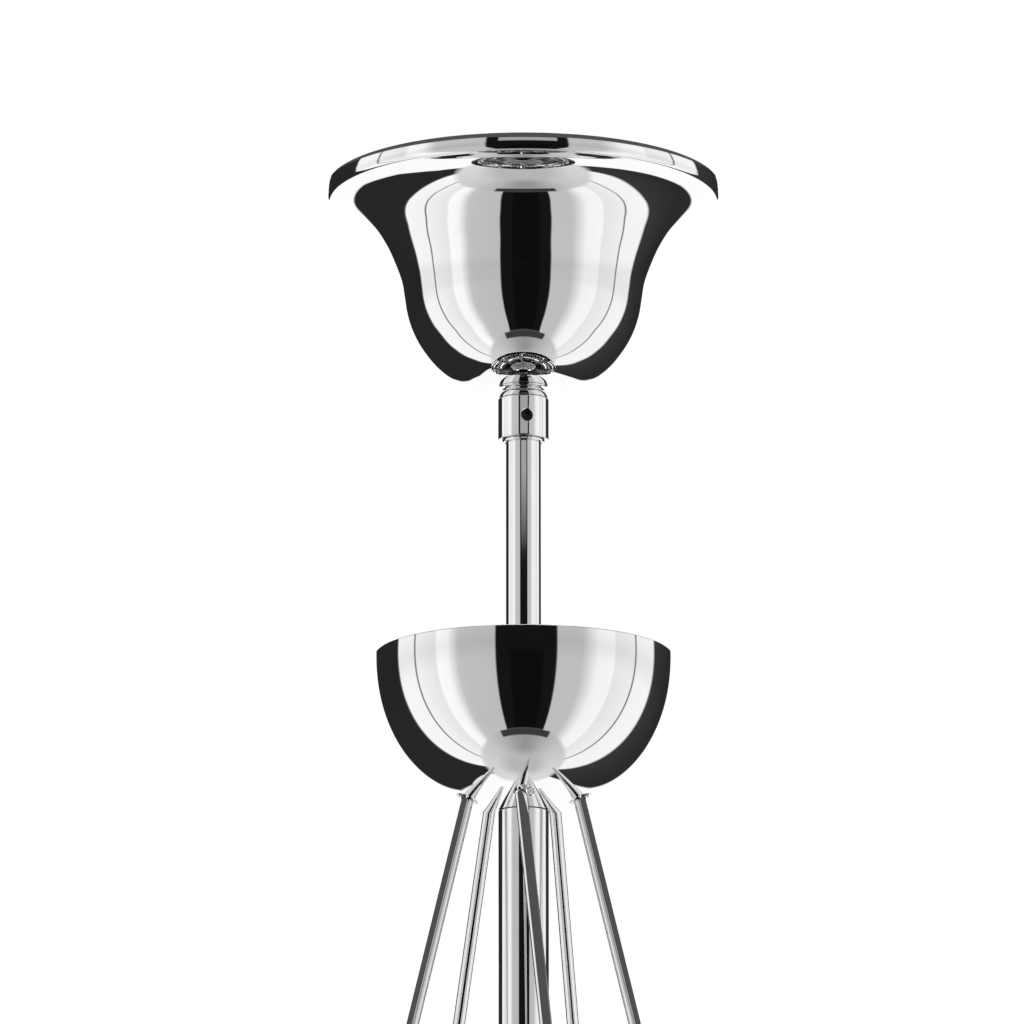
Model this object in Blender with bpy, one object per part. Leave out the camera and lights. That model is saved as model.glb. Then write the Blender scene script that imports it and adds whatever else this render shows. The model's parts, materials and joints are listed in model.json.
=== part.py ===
"""Ceiling-light suspension in polished chrome: canopy, downrod, bowl hub, centre tube and five thin rods.

It hangs from a steel strap under the ceiling. The strap's top face is at z = 0 and everything is below it.
Two crossed pins let the stem hang plumb. A set collar slides on the downrod and carries the canopy, and
each thin rod can turn about its own threaded end, which is vertical and stands in a plate inside the bowl.
Metres, +Z up. The front of the object is -Y.
"""

from math import cos, pi, radians, sin, tan

import bmesh
import bpy
from mathutils import Matrix, Vector

# Fits
GAP = 0.0003          # left between pieces that touch
PIN_PLAY = 0.00015    # between a pin and its hole, on the radius

# Sides of the round pieces
SHELL_SIDES = 44
TUBE_SIDES = 32
SIDES = 24
THIN_SIDES = 16
NUT_SIDES = 12

# Canopy: a spun shell that opens upwards
CANOPY_R = 0.090
LIP_HEIGHT = 0.0078
SHEET = 0.0010
CANOPY_HOLE_R = 0.0093

# Stem
DOWNROD_R = 0.008
TUBE_WALL = 0.0012
DOWNROD_TOP = -0.0566
THREAD_R = 0.005      # M10 thread of the stem, the hub nipple and the pieces on them
NUT_WIDTH = 0.016     # across flats, of the M10 nuts
NUT_HEIGHT = 0.006
PLUG_R = DOWNROD_R - TUBE_WALL - GAP
PLUG_LENGTH = 0.016

# Set collar and the parts that go with it
COLLAR_R = 0.0116
COLLAR_TOP = -0.1010
COLLAR_HEIGHT = 0.019
COLLAR_EDGE = 0.0005
SLIDE_R = DOWNROD_R + GAP
DOME_R = 0.0111
DOME_TOP = -0.0949
DOME_RISE = 0.0092    # height of the whole half-ellipse that the dome is cut from
BUSH_R = 0.0092
BUSH_RIM_R = 0.0097
BUSH_RIM = 0.0010
BUSH_LENGTH = 0.0045
GRUB_TURN = radians(8.3)
GRUB_R = 0.0024
GRUB_LENGTH = 0.0026
GRUB_HOLE_R = 0.0027
GRUB_CHAMFER_R = 0.0032
GRUB_KEY_WIDTH = 0.0025

# Bowl hub
BOWL_R = 0.0672
BOWL_RIM_Z = -0.2200
BOWL_DEPTH = 0.0726   # depth of the whole superellipse that the bowl is cut from
BOWL_POWER = 2.12
BOWL_SHEET = 0.0012
BOWL_FLAT_R = 0.013

# Centre tube
CENTRE_R = 0.0114
CENTRE_END = -0.415
CENTRE_PLUG_R = CENTRE_R - TUBE_WALL - GAP
END_PLUG_LENGTH = 0.012

# Thin rods
ROD_COUNT = 5
ROD_R = 0.00275
ROD_AXIS_R = 0.022    # radius of the circle that their vertical ends stand on
ROD_SPLAY = radians(13.9)
ROD_BEND_Z = -0.2700
ROD_BEND_R = 0.012
ROD_TOP = -0.2490
ROD_END = -0.412
ROD_HOLE_R = 0.0048
ROD_TURNS = (radians(24), 0, radians(16), 0, 0)   # how far each rod is turned about its vertical end
ROD_OFFSETS = (radians(-8), 0, 0, 0, 0)           # how far each vertical end stands from its even place

# Rod plate inside the bowl
PLATE_R = 0.030
PLATE_TOP = -0.2580
PLATE_THICK = 0.004
ROD_NUT_WIDTH = 0.010
ROD_NUT_HEIGHT = 0.005
WASHER_THICK = 0.0010
AXIS_WASHER_THICK = 0.0015

# Ceiling strap and yoke
STRAP_LENGTH = 0.136
STRAP_WIDTH = 0.028
STRAP_THICK = 0.0025
SLOT_X = 0.054
SLOT_LENGTH = 0.016
SLOT_WIDTH = 0.0055
YOKE_LENGTH = 0.040
YOKE_WIDTH = 0.018
YOKE_THICK = 0.0025
EAR_THICK = 0.003
EAR_GAP = 0.0126
YOKE_SCREW_X = 0.015
YOKE_SCREW_R = 0.0025

# Crossed pins and the link between them
UPPER_PIN_Z = -0.020
LOWER_PIN_Z = -0.034
PIN_R = 0.003
PIN_HEAD_R = 0.0045
PIN_HEAD = 0.002
LINK_WIDTH = 0.012
LINK_OVERHANG = 0.0055
CLEVIS_WIDTH = 0.014
CLEVIS_BASE_TOP = -0.044
CLEVIS_BASE = 0.006
STUD_END = -0.0720

# Electrical joint
BLOCK_X = 0.032
BLOCK_SIZE = (0.020, 0.024, 0.014)
POLE_PITCH = 0.008
WIRE_HOLE_R = 0.0018
CLAMP_SCREW_R = 0.0013
EARTH_X = -0.030

TINY = 0.000001


# Materials

def material(name, colour, roughness, metallic):
    """A Principled BSDF material."""
    made = bpy.data.materials.new(name)
    made.use_nodes = True
    shader = made.node_tree.nodes["Principled BSDF"]
    shader.inputs["Base Color"].default_value = (*colour, 1.0)
    shader.inputs["Roughness"].default_value = roughness
    shader.inputs["Metallic"].default_value = metallic
    made.diffuse_color = (*colour, 1.0)
    return made


def make_materials():
    return {
        "chrome": material("chrome", (0.80, 0.81, 0.82), 0.04, 1.0),
        "zinc": material("zinc", (0.62, 0.63, 0.64), 0.35, 1.0),
        "brass": material("brass", (0.72, 0.56, 0.28), 0.30, 1.0),
        "black_steel": material("black_steel", (0.06, 0.06, 0.065), 0.40, 1.0),
        "block": material("block", (0.85, 0.84, 0.80), 0.40, 0.0),
    }


# Building blocks

def finish(mesh_data, name, look, smooth=True):
    """Turns a bmesh into an object with a material, shaded smooth up to 40 degrees."""
    bmesh.ops.remove_doubles(mesh_data, verts=mesh_data.verts, dist=TINY)
    bmesh.ops.recalc_face_normals(mesh_data, faces=mesh_data.faces)
    mesh = bpy.data.meshes.new(name)
    mesh_data.to_mesh(mesh)
    mesh_data.free()
    if smooth:
        mesh.shade_smooth()
        mesh.set_sharp_from_angle(angle=radians(40))
    mesh.materials.append(look)
    made = bpy.data.objects.new(name, mesh)
    bpy.context.scene.collection.objects.link(made)
    return made


def move_mesh(thing, matrix):
    """Moves the shape and leaves the object's origin where it is."""
    thing.data.transform(matrix)
    return thing


def set_origin(thing, place):
    """Puts the object's origin at a point without moving its shape."""
    thing.data.transform(Matrix.Translation(-Vector(place)))
    thing.location = place
    return thing


def turned(name, profile, look, sides=SIDES):
    """A solid turned about Z. The profile is a closed loop of (radius, z)."""
    bm = bmesh.new()
    points = [bm.verts.new((r, 0.0, z)) for r, z in profile]
    edges = [bm.edges.new((points[i - 1], points[i])) for i in range(len(points))]
    bmesh.ops.spin(bm, geom=points + edges, angle=2 * pi, steps=sides, axis=(0, 0, 1),
                   cent=(0, 0, 0), use_merge=True)
    bmesh.ops.dissolve_degenerate(bm, edges=bm.edges, dist=TINY)
    loose = [v for v in bm.verts if not v.link_faces]
    bmesh.ops.delete(bm, geom=loose, context="VERTS")
    return finish(bm, name, look)


def rod_profile(radius, bottom, top, edge=0.0):
    """Half the section of a solid round bar with chamfered ends."""
    return [(0, top), (radius - edge, top), (radius, top - edge), (radius, bottom + edge),
            (radius - edge, bottom), (0, bottom)]


def ring_profile(outer, inner, bottom, top, edge=0.0):
    """Half the section of a tube, its outer edges chamfered."""
    return [(inner, top), (outer - edge, top), (outer, top - edge), (outer, bottom + edge),
            (outer - edge, bottom), (inner, bottom)]


def bar(name, radius, bottom, top, look, edge=0.0, sides=SIDES):
    return turned(name, rod_profile(radius, bottom, top, edge), look, sides)


def ring(name, outer, inner, bottom, top, look, edge=0.0, sides=SIDES):
    return turned(name, ring_profile(outer, inner, bottom, top, edge), look, sides)


def hex_nut(name, width, hole_r, bottom, top, look, place=(0.0, 0.0), turn=0.0):
    """A hexagon nut with chamfered corners. Its hexagon and hole are divided alike."""
    flat = width / 2
    corner = flat / cos(pi / 6)
    chamfer = (corner - flat) * 0.8
    bm = bmesh.new()

    def loop(z, radius_at):
        made = []
        for k in range(NUT_SIDES):
            a = 2 * pi * k / NUT_SIDES
            made.append(bm.verts.new((radius_at(a) * cos(a), radius_at(a) * sin(a), z)))
        return made

    def hexagon(a):
        side = pi / 3
        return flat / cos((a + side / 2) % side - side / 2)

    def face_circle(a):
        return min(hexagon(a), flat * 1.02)

    def hole(a):
        return hole_r

    loops = [
        loop(bottom, hole), loop(bottom, face_circle), loop(bottom + chamfer, hexagon),
        loop(top - chamfer, hexagon), loop(top, face_circle), loop(top, hole),
    ]
    for i in range(len(loops)):
        near, far = loops[i - 1], loops[i]
        for k in range(NUT_SIDES):
            m = (k + 1) % NUT_SIDES
            bm.faces.new((near[k], near[m], far[m], far[k]))
    made = finish(bm, name, look)
    move_mesh(made, Matrix.Translation((*place, 0)) @ Matrix.Rotation(turn, 4, "Z"))
    return made


def extruded(name, outline, look, low, high, axis="Z"):
    """An outline of 2-D points pushed from low to high along an axis: (x, y) for Z, (x, z) for Y, (y, z) for X."""
    place = {
        "Z": lambda a, b, h: (a, b, h),
        "Y": lambda a, b, h: (a, h, b),
        "X": lambda a, b, h: (h, a, b),
    }[axis]
    bm = bmesh.new()
    near = [bm.verts.new(place(a, b, low)) for a, b in outline]
    far = [bm.verts.new(place(a, b, high)) for a, b in outline]
    bm.faces.new(near)
    bm.faces.new(far)
    for i in range(len(outline)):
        bm.faces.new((near[i - 1], near[i], far[i], far[i - 1]))
    return finish(bm, name, look)


def arc(centre, radius, start, end, steps):
    """Points on an arc, in degrees, both ends included."""
    made = []
    for k in range(steps + 1):
        a = radians(start + (end - start) * k / steps)
        made.append((centre[0] + radius * cos(a), centre[1] + radius * sin(a)))
    return made


def stadium(length, width, centre=(0.0, 0.0), steps=10):
    """A slot's outline along the first axis."""
    half = length / 2 - width / 2
    a, b = centre
    return (arc((a + half, b), width / 2, -90, 90, steps)
            + arc((a - half, b), width / 2, 90, 270, steps))


def cutter(thing):
    """Marks a shape that only cuts others."""
    thing.hide_render = True
    thing.display_type = "WIRE"
    return thing


def boolean(thing, other, operation="DIFFERENCE"):
    """Applies an exact Boolean and removes the helper shape."""
    modifier = thing.modifiers.new("shape", "BOOLEAN")
    modifier.operation = operation
    modifier.solver = "EXACT"
    modifier.object = other
    bpy.context.view_layer.update()
    graph = bpy.context.evaluated_depsgraph_get()
    result = bpy.data.meshes.new_from_object(thing.evaluated_get(graph))
    thing.modifiers.clear()
    thing.data = result
    thing.data.shade_smooth()
    thing.data.set_sharp_from_angle(angle=radians(40))
    bpy.data.objects.remove(other)
    return thing


def drill(thing, radius, place, direction, length, sides=SIDES):
    """Cuts a round hole that is centred on a place."""
    tool = bar("tool", radius, -length / 2, length / 2, thing.data.materials[0], sides=sides)
    turn = Vector((0, 0, 1)).rotation_difference(Vector(direction)).to_matrix().to_4x4()
    move_mesh(tool, Matrix.Translation(place) @ turn)
    return boolean(thing, cutter(tool))


def thickened(outline, sheet):
    """A closed section: the outline from its first point to its last and back on its inner side."""
    inner = []
    for i, point in enumerate(outline):
        before = Vector(outline[max(i - 1, 0)])
        after = Vector(outline[min(i + 1, len(outline) - 1)])
        along = (after - before).normalized()
        inner.append((point[0] + along.y * sheet, point[1] - along.x * sheet))
    return list(outline) + inner[::-1]


# Canopy

def canopy_outline():
    """The outer side of the spun bell, from its rim down to its hole, in (radius, z)."""
    lip = [
        (CANOPY_R - 0.0004, 0.0),
        (CANOPY_R, -0.0032),
        (CANOPY_R - 0.0004, -0.0066),
        (CANOPY_R - 0.0014, -LIP_HEIGHT),
    ]
    flange = [(0.0853, -0.0084), (0.0800, -0.0105), (0.0742, -0.0143)]
    flare = [(0.0692, -0.0188), (0.0633, -0.0276), (0.0591, -0.0368), (0.0559, -0.0462)]
    belly = [(0.0536, -0.0600), (0.0520, -0.0658), (0.0485, -0.0737), (0.0450, -0.0792),
             (0.0412, -0.0841), (0.0362, -0.0892), (0.0310, -0.0932)]
    dimple = [(0.0255, -0.0960), (0.0200, -0.0971), (0.0150, -0.0973), (0.0120, -0.0967), (CANOPY_HOLE_R, -0.0954)]
    return lip + flange + flare + belly + dimple


def make_canopy(looks):
    made = turned("canopy", thickened(canopy_outline(), SHEET), looks["chrome"], SHELL_SIDES)
    return set_origin(made, (0, 0, COLLAR_TOP))


# Set collar, dome, bush and grub screw

def grub_direction():
    return Vector((sin(GRUB_TURN), -cos(GRUB_TURN), 0))


def collar_middle():
    return COLLAR_TOP - COLLAR_HEIGHT / 2


def make_collar(looks):
    bottom = COLLAR_TOP - COLLAR_HEIGHT
    seat = bottom + BUSH_LENGTH + GAP
    profile = [
        (SLIDE_R, COLLAR_TOP), (COLLAR_R - COLLAR_EDGE, COLLAR_TOP), (COLLAR_R, COLLAR_TOP - COLLAR_EDGE),
        (COLLAR_R, bottom + COLLAR_EDGE), (COLLAR_R - COLLAR_EDGE, bottom),
        (BUSH_R + GAP, bottom), (BUSH_R + GAP, seat), (SLIDE_R, seat),
    ]
    collar = turned("set_collar", profile, looks["chrome"], TUBE_SIDES)
    middle = Vector((0, 0, collar_middle()))
    drill(collar, GRUB_HOLE_R, middle + grub_direction() * 0.010, grub_direction(), 0.008)
    chamfer = GRUB_CHAMFER_R - GRUB_HOLE_R
    depth = COLLAR_R - chamfer
    cone = turned("cone", [(0, 0.003), (GRUB_CHAMFER_R + 0.003, 0.003), (GRUB_HOLE_R, -chamfer / 2),
                           (0, -chamfer / 2)], looks["chrome"])
    turn = Vector((0, 0, 1)).rotation_difference(grub_direction()).to_matrix().to_4x4()
    move_mesh(cone, Matrix.Translation(middle + grub_direction() * depth) @ turn)
    boolean(collar, cutter(cone))
    return set_origin(collar, (0, 0, COLLAR_TOP))


def make_dome(looks):
    """A half-ellipse of revolution with its top cut off, on which the canopy's hole rests."""
    base = COLLAR_TOP + GAP
    top_share = (DOME_TOP - base) / DOME_RISE
    steps = 5
    outer = []
    for k in range(steps + 1):
        share = top_share * (1 - k / steps)
        outer.append((DOME_R * (1 - share ** 2) ** 0.5, base + share * DOME_RISE))
    profile = [(SLIDE_R, DOME_TOP)] + outer + [(SLIDE_R, base)]
    return set_origin(turned("collar_dome", profile, looks["chrome"], TUBE_SIDES), (0, 0, COLLAR_TOP))


def make_bush(looks):
    bottom = COLLAR_TOP - COLLAR_HEIGHT
    profile = [
        (SLIDE_R, bottom + BUSH_LENGTH), (BUSH_R, bottom + BUSH_LENGTH), (BUSH_R, bottom - GAP),
        (BUSH_RIM_R, bottom - GAP), (BUSH_RIM_R, bottom - GAP - BUSH_RIM),
        (SLIDE_R, bottom - GAP - BUSH_RIM),
    ]
    return set_origin(turned("collar_bush", profile, looks["chrome"], TUBE_SIDES), (0, 0, COLLAR_TOP))


def make_grub_screw(looks):
    """A screw with a hexagon socket, flush inside its hole, with its tip just off the downrod."""
    screw = bar("grub_screw", GRUB_R, 0, GRUB_LENGTH, looks["black_steel"], 0.0003)
    key_r = GRUB_KEY_WIDTH / 2 / cos(pi / 6)
    key = extruded("key", arc((0, 0), key_r, 0, 300, 5), looks["black_steel"], 0.0010, 0.0040)
    boolean(screw, cutter(key))
    turn = Vector((0, 0, 1)).rotation_difference(grub_direction()).to_matrix().to_4x4()
    tip = Vector((0, 0, collar_middle())) + grub_direction() * (DOWNROD_R + GAP)
    move_mesh(screw, Matrix.Translation(tip) @ turn)
    return set_origin(screw, tip)


# Ceiling strap, yoke and what is fastened to them

def make_strap(looks):
    strap = extruded("ceiling_strap", stadium(STRAP_LENGTH, STRAP_WIDTH, steps=12), looks["zinc"],
                     -STRAP_THICK, 0)
    for side in (-1, 1):
        slot = extruded("slot", stadium(SLOT_LENGTH, SLOT_WIDTH, (side * SLOT_X, 0)), looks["zinc"],
                        -0.01, 0.01)
        boolean(strap, cutter(slot))
        sink = turned("sink", [(0, 0.001), (YOKE_SCREW_R * 2 + 0.0013, 0.001),
                               (YOKE_SCREW_R + GAP, -0.0022), (YOKE_SCREW_R + GAP, -0.01), (0, -0.01)],
                      looks["zinc"])
        move_mesh(sink, Matrix.Translation((side * YOKE_SCREW_X, 0, 0)))
        boolean(strap, cutter(sink))
    drill(strap, 0.0023, (EARTH_X, 0, 0), (0, 0, 1), 0.02, THIN_SIDES)
    drill(strap, 0.0018, (BLOCK_X, POLE_PITCH / 2, 0), (0, 0, 1), 0.02, THIN_SIDES)
    return strap


def fork_outline(length, thick, gap, ear, reach):
    """A base with two ears below it: (across, down), the base's top at 0."""
    inner = gap / 2
    outer = inner + ear
    return [(-length / 2, 0), (length / 2, 0), (length / 2, -thick), (outer, -thick), (outer, -reach),
            (inner, -reach), (inner, -thick), (-inner, -thick), (-inner, -reach), (-outer, -reach),
            (-outer, -thick), (-length / 2, -thick)]


def make_yoke(looks):
    """A base with two ears that hold the upper pin, their lower ends round about the pin."""
    top = -STRAP_THICK - GAP
    half = YOKE_WIDTH / 2
    reach = top - (UPPER_PIN_Z - half)
    outline = [(a, top + b) for a, b in fork_outline(YOKE_LENGTH, YOKE_THICK, EAR_GAP, EAR_THICK, reach)]
    yoke = extruded("hanger_yoke", outline, looks["zinc"], -half, half, "Y")
    round_end = [(half, 0.01)] + arc((0, UPPER_PIN_Z), half, 0, -180, 12) + [(-half, 0.01)]
    boolean(yoke, cutter(extruded("round", round_end, looks["zinc"], -0.03, 0.03, "X")), "INTERSECT")
    drill(yoke, PIN_R + PIN_PLAY, (0, 0, UPPER_PIN_Z), (1, 0, 0), 0.03)
    for side in (-1, 1):
        drill(yoke, YOKE_SCREW_R + GAP, (side * YOKE_SCREW_X, 0, top), (0, 0, 1), 0.02, THIN_SIDES)
    return yoke


def make_yoke_fasteners(looks):
    """Two countersunk screws from above, flush with the strap, and their nuts."""
    nut_top = -STRAP_THICK - YOKE_THICK - 2 * GAP
    for number, side in ((1, -1), (2, 1)):
        profile = [(0, -0.0003), (YOKE_SCREW_R * 2 - 0.0002, -0.0003), (YOKE_SCREW_R, -0.0024),
                   (YOKE_SCREW_R, -0.0120), (0, -0.0120)]
        screw = turned(f"yoke_screw_{number}", profile, looks["zinc"])
        move_mesh(screw, Matrix.Translation((side * YOKE_SCREW_X, 0, 0)))
        hex_nut(f"yoke_nut_{number}", 0.008, YOKE_SCREW_R + GAP, nut_top - 0.004, nut_top, looks["zinc"],
                (side * YOKE_SCREW_X, 0))


def make_pin(name, z, direction, looks):
    """A headed pin across a fork, and the ring that keeps it in."""
    turn = Vector((0, 0, 1)).rotation_difference(Vector(direction)).to_matrix().to_4x4()
    place = Matrix.Translation((0, 0, z)) @ turn
    face = EAR_GAP / 2 + EAR_THICK + GAP
    head = -face - PIN_HEAD
    end = face + 0.0030
    profile = [(0, end), (PIN_R - 0.0005, end), (PIN_R, end - 0.0005), (PIN_R, -face),
               (PIN_HEAD_R, -face), (PIN_HEAD_R, head + 0.0005), (PIN_HEAD_R - 0.0005, head), (0, head)]
    move_mesh(turned(name, profile, looks["zinc"]), place)
    clip = ring(name + "_clip", 0.0052, PIN_R + GAP, face, face + 0.0010, looks["black_steel"])
    move_mesh(clip, place)


def make_cross_link(looks):
    """A block with two crossed holes."""
    half = LINK_WIDTH / 2
    bm = bmesh.new()
    bmesh.ops.create_cube(bm, size=1)
    low = LOWER_PIN_Z - LINK_OVERHANG
    high = UPPER_PIN_Z + LINK_OVERHANG
    bmesh.ops.scale(bm, vec=(LINK_WIDTH, LINK_WIDTH, high - low), verts=bm.verts)
    bmesh.ops.translate(bm, vec=(0, 0, (low + high) / 2), verts=bm.verts)
    bmesh.ops.bevel(bm, geom=bm.edges, offset=half / 6, segments=1, affect="EDGES")
    link = finish(bm, "cross_link", looks["zinc"], smooth=False)
    drill(link, PIN_R + PIN_PLAY, (0, 0, UPPER_PIN_Z), (1, 0, 0), 0.03)
    drill(link, PIN_R + PIN_PLAY, (0, 0, LOWER_PIN_Z), (0, 1, 0), 0.03)
    return set_origin(link, (0, 0, UPPER_PIN_Z))


def make_clevis(looks):
    """A fork that holds the lower pin, with a threaded stud under it."""
    half = CLEVIS_WIDTH / 2
    base_low = CLEVIS_BASE_TOP - CLEVIS_BASE
    outer = EAR_GAP / 2 + EAR_THICK
    reach = LOWER_PIN_Z + half - base_low
    outline = [(a, base_low - b) for a, b in fork_outline(2 * outer, CLEVIS_BASE, EAR_GAP, EAR_THICK, reach)]
    clevis = extruded("stem_clevis", outline, looks["zinc"], -half, half, "X")
    round_end = [(-half, -0.08)] + arc((0, LOWER_PIN_Z), half, 180, 0, 12) + [(half, -0.08)]
    boolean(clevis, cutter(extruded("round", round_end, looks["zinc"], -0.03, 0.03, "Y")), "INTERSECT")
    drill(clevis, PIN_R + PIN_PLAY, (0, 0, LOWER_PIN_Z), (0, 1, 0), 0.03)
    stud = bar("stud", THREAD_R, STUD_END, base_low + 0.002, looks["zinc"], 0.0005)
    boolean(clevis, cutter(stud), "UNION")
    return set_origin(clevis, (0, 0, LOWER_PIN_Z))


def make_terminal_block(looks):
    """A three-pole block under the strap, its screws and the earth screw beside it."""
    size_x, size_y, size_z = BLOCK_SIZE
    top = -STRAP_THICK - GAP
    middle = top - size_z / 2
    bm = bmesh.new()
    bmesh.ops.create_cube(bm, size=1)
    bmesh.ops.scale(bm, vec=BLOCK_SIZE, verts=bm.verts)
    bmesh.ops.translate(bm, vec=(BLOCK_X, 0, middle), verts=bm.verts)
    bmesh.ops.bevel(bm, geom=bm.edges, offset=0.0008, segments=1, affect="EDGES")
    block = finish(bm, "terminal_block", looks["block"], smooth=False)
    bottom = top - size_z
    for number, pole in ((1, -1), (2, 0), (3, 1)):
        y = pole * POLE_PITCH
        drill(block, WIRE_HOLE_R, (BLOCK_X, y, middle), (1, 0, 0), 0.03, THIN_SIDES)
        drill(block, CLAMP_SCREW_R + GAP, (BLOCK_X - 0.005, y, bottom), (0, 0, 1), size_z - 0.001, THIN_SIDES)
        screw = turned(f"clamp_screw_{number}",
                       rod_profile(CLAMP_SCREW_R, bottom - 0.0006, middle - WIRE_HOLE_R * 0.6, 0.0002),
                       looks["brass"], THIN_SIDES)
        move_mesh(screw, Matrix.Translation((BLOCK_X - 0.005, y, 0)))
    drill(block, 0.0018, (BLOCK_X, POLE_PITCH / 2, middle), (0, 0, 1), 0.03, THIN_SIDES)
    profile = [(0, -0.0005), (0.0015, -0.0005), (0.0015, bottom - GAP), (0.0028, bottom - GAP),
               (0.0028, bottom - 0.0015), (0.0022, bottom - 0.0020), (0, bottom - 0.0020)]
    holder = turned("terminal_block_screw", profile, looks["zinc"], THIN_SIDES)
    move_mesh(holder, Matrix.Translation((BLOCK_X, POLE_PITCH / 2, 0)))


def make_earth_screw(looks):
    washer_top = -STRAP_THICK - GAP
    washer_low = washer_top - 0.0008
    washer = ring("earth_washer", 0.0048, 0.0023, washer_low, washer_top, looks["brass"])
    move_mesh(washer, Matrix.Translation((EARTH_X, 0, 0)))
    head_top = washer_low - GAP
    profile = [(0, -0.0005), (0.0020, -0.0005), (0.0020, head_top), (0.0038, head_top),
               (0.0038, head_top - 0.0016), (0.0030, head_top - 0.0025), (0, head_top - 0.0025)]
    screw = turned("earth_screw", profile, looks["brass"])
    move_mesh(screw, Matrix.Translation((EARTH_X, 0, 0)))


# Downrod and hub

def bowl_outer_r(z):
    """Outer radius of the bowl at a height: a superellipse."""
    share = min(max((BOWL_RIM_Z - z) / BOWL_DEPTH, 0), 1)
    return BOWL_R * (1 - share ** BOWL_POWER) ** (1 / BOWL_POWER)


def bowl_flat_z():
    """Height at which the superellipse is as wide as the flat bottom."""
    share = (1 - (BOWL_FLAT_R / BOWL_R) ** BOWL_POWER) ** (1 / BOWL_POWER)
    return BOWL_RIM_Z - BOWL_DEPTH * share


def plate_bottom():
    return PLATE_TOP - PLATE_THICK


def downrod_bottom():
    return PLATE_TOP + GAP + AXIS_WASHER_THICK + GAP


def make_downrod(looks):
    bottom = downrod_bottom()
    rod = ring("downrod", DOWNROD_R, DOWNROD_R - TUBE_WALL, bottom, DOWNROD_TOP, looks["chrome"], sides=TUBE_SIDES)
    drill(rod, 0.003, (DOWNROD_R, 0, -0.082), (1, 0, 0), 0.008, THIN_SIDES)
    ring("downrod_top_plug", PLUG_R, THREAD_R + GAP, DOWNROD_TOP - PLUG_LENGTH, DOWNROD_TOP,
         looks["brass"])
    ring("downrod_bottom_plug", PLUG_R, THREAD_R + GAP, bottom, bottom + PLUG_LENGTH, looks["brass"])
    nut_top = CLEVIS_BASE_TOP - CLEVIS_BASE - GAP
    hex_nut("stem_lock_nut", NUT_WIDTH, THREAD_R + GAP, nut_top - NUT_HEIGHT, nut_top, looks["zinc"])


def make_bowl(looks):
    """An open shell with a rounded rim, a flat bottom and six holes."""
    flat_z = bowl_flat_z()
    half = BOWL_SHEET / 2
    rim = arc((BOWL_R - half, BOWL_RIM_Z - half), half, 180, 0, 4)
    levels = (0.17, 0.34, 0.50, 0.64, 0.76, 0.86, 0.93, 0.98)
    wall = []
    for level in levels:
        z = BOWL_RIM_Z + (flat_z - BOWL_RIM_Z) * level
        wall.append((bowl_outer_r(z), z))
    outer = [(BOWL_R, BOWL_RIM_Z - half)] + wall + [(BOWL_FLAT_R, flat_z), (THREAD_R + GAP, flat_z)]
    inner = thickened(outer, BOWL_SHEET)[len(outer):]
    inner[0] = (THREAD_R + GAP, flat_z + BOWL_SHEET)
    bowl = turned("bowl", rim[1:-1] + outer + inner, looks["chrome"], SHELL_SIDES)
    for number in range(ROD_COUNT):
        x, y = rod_spot(number, rod_hole_r())
        drill(bowl, ROD_HOLE_R, (x, y, flat_z), (0, 0, 1), 0.03, THIN_SIDES)
    return bowl


def make_hub(looks):
    """What holds the bowl, the rod plate, the downrod and the centre tube together on one threaded tube."""
    flat_z = bowl_flat_z()
    inside = flat_z + BOWL_SHEET
    ring("hub_nipple", THREAD_R, 0.0040, flat_z - 0.016, downrod_bottom() + 0.013, looks["zinc"], 0.0004)
    washer_top = inside + GAP + AXIS_WASHER_THICK
    ring("bowl_washer", 0.0120, THREAD_R + GAP, inside + GAP, washer_top, looks["zinc"])
    hex_nut("bowl_nut", NUT_WIDTH, THREAD_R + GAP, washer_top + GAP, washer_top + GAP + NUT_HEIGHT, looks["zinc"])
    plate_low = plate_bottom()
    hex_nut("plate_nut", NUT_WIDTH, THREAD_R + GAP, plate_low - GAP - NUT_HEIGHT, plate_low - GAP, looks["zinc"])
    ring("plate_washer", 0.0120, THREAD_R + GAP, PLATE_TOP + GAP, PLATE_TOP + GAP + AXIS_WASHER_THICK, looks["zinc"])
    plate = ring("rod_plate", PLATE_R, THREAD_R + GAP, plate_low, PLATE_TOP, looks["zinc"], 0.0005, TUBE_SIDES)
    for number in range(ROD_COUNT):
        x, y = rod_place(number)
        drill(plate, ROD_R + GAP, (x, y, PLATE_TOP), (0, 0, 1), 0.02, THIN_SIDES)


def make_centre_tube(looks):
    top = bowl_flat_z() - GAP
    ring("centre_tube", CENTRE_R, CENTRE_R - TUBE_WALL, CENTRE_END, top, looks["chrome"], sides=TUBE_SIDES)
    ring("centre_tube_top_plug", CENTRE_PLUG_R, THREAD_R + GAP, top - PLUG_LENGTH, top, looks["brass"])
    ring("centre_tube_end_plug", CENTRE_PLUG_R, THREAD_R + GAP, CENTRE_END, CENTRE_END + END_PLUG_LENGTH,
         looks["brass"])


# Thin rods

def rod_angle(number):
    """Direction of a rod seen from above. The first points to the front, and the rest follow to the right."""
    return -pi / 2 + 2 * pi * number / ROD_COUNT


def rod_spot(number, radius):
    return radius * cos(rod_angle(number)), radius * sin(rod_angle(number))


def rod_place(number):
    """Where the vertical end of a rod stands on the plate."""
    angle = rod_angle(number) + ROD_OFFSETS[number]
    return ROD_AXIS_R * cos(angle), ROD_AXIS_R * sin(angle)


def rod_hole_r():
    """Radius at which the splayed part of a rod goes through the bowl's bottom."""
    z = bowl_flat_z() + 0.003
    return ROD_AXIS_R + (ROD_BEND_Z - z) * tan(ROD_SPLAY)


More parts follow.
